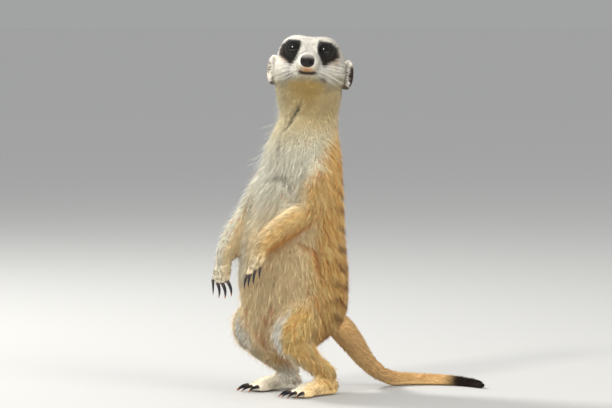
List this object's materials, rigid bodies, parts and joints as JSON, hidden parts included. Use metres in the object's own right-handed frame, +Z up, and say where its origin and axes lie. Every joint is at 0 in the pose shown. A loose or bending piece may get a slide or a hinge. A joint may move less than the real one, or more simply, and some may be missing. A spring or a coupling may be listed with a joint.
{
  "type": "meerkat",
  "caption": "Life-size still meerkat standing upright on its hind legs, head turned to its left, forepaws hanging in front of the belly, tail laid on the floor behind.",
  "frame": {"origin": "on the floor, under the middle of the box round the whole animal", "axes": "+Z up, the chest faces -Y, the animal's left is +X; the head is turned about 42 degrees to its left"},
  "size_m": [0.1422, 0.2198, 0.3054],
  "materials": {
    "face_fur": "soft",
    "pale_fur": "soft",
    "tawny_fur": "soft",
    "ear_fur": "soft",
    "tail_tip_fur": "soft",
    "nose": "moist",
    "eye": "wet",
    "claw": "satin"
  },
  "bodies": {
    "root": {"belly": "pale_fur", "chest": "pale_fur", "ear_left": "ear_fur", "ear_right": "ear_fur", "eye_left": "eye", "eye_right": "eye", "foot_left": "pale_fur", "foot_left_claw_1": "claw", "foot_left_claw_2": "claw", "foot_left_claw_3": "claw", "foot_left_claw_4": "claw", "foot_right": "pale_fur", "foot_right_claw_1": "claw", "foot_right_claw_2": "claw", "foot_right_claw_3": "claw", "foot_right_claw_4": "claw", "forearm_left": "tawny_fur", "forearm_right": "tawny_fur", "hand_left": "pale_fur", "hand_left_claw_1": "claw", "hand_left_claw_2": "claw", "hand_left_claw_3": "claw", "hand_left_claw_4": "claw", "hand_right": "pale_fur", "hand_right_claw_1": "claw", "hand_right_claw_2": "claw", "hand_right_claw_3": "claw", "hand_right_claw_4": "claw", "head": "face_fur", "neck": "pale_fur", "nose": "nose", "pelvis": "tawny_fur", "shank_left": "tawny_fur", "shank_right": "tawny_fur", "tail_base": "tawny_fur", "tail_middle": "tawny_fur", "tail_tip": "tail_tip_fur", "thigh_left": "tawny_fur", "thigh_right": "tawny_fur", "upper_arm_left": "tawny_fur", "upper_arm_right": "tawny_fur"}
  },
  "joints": []
}
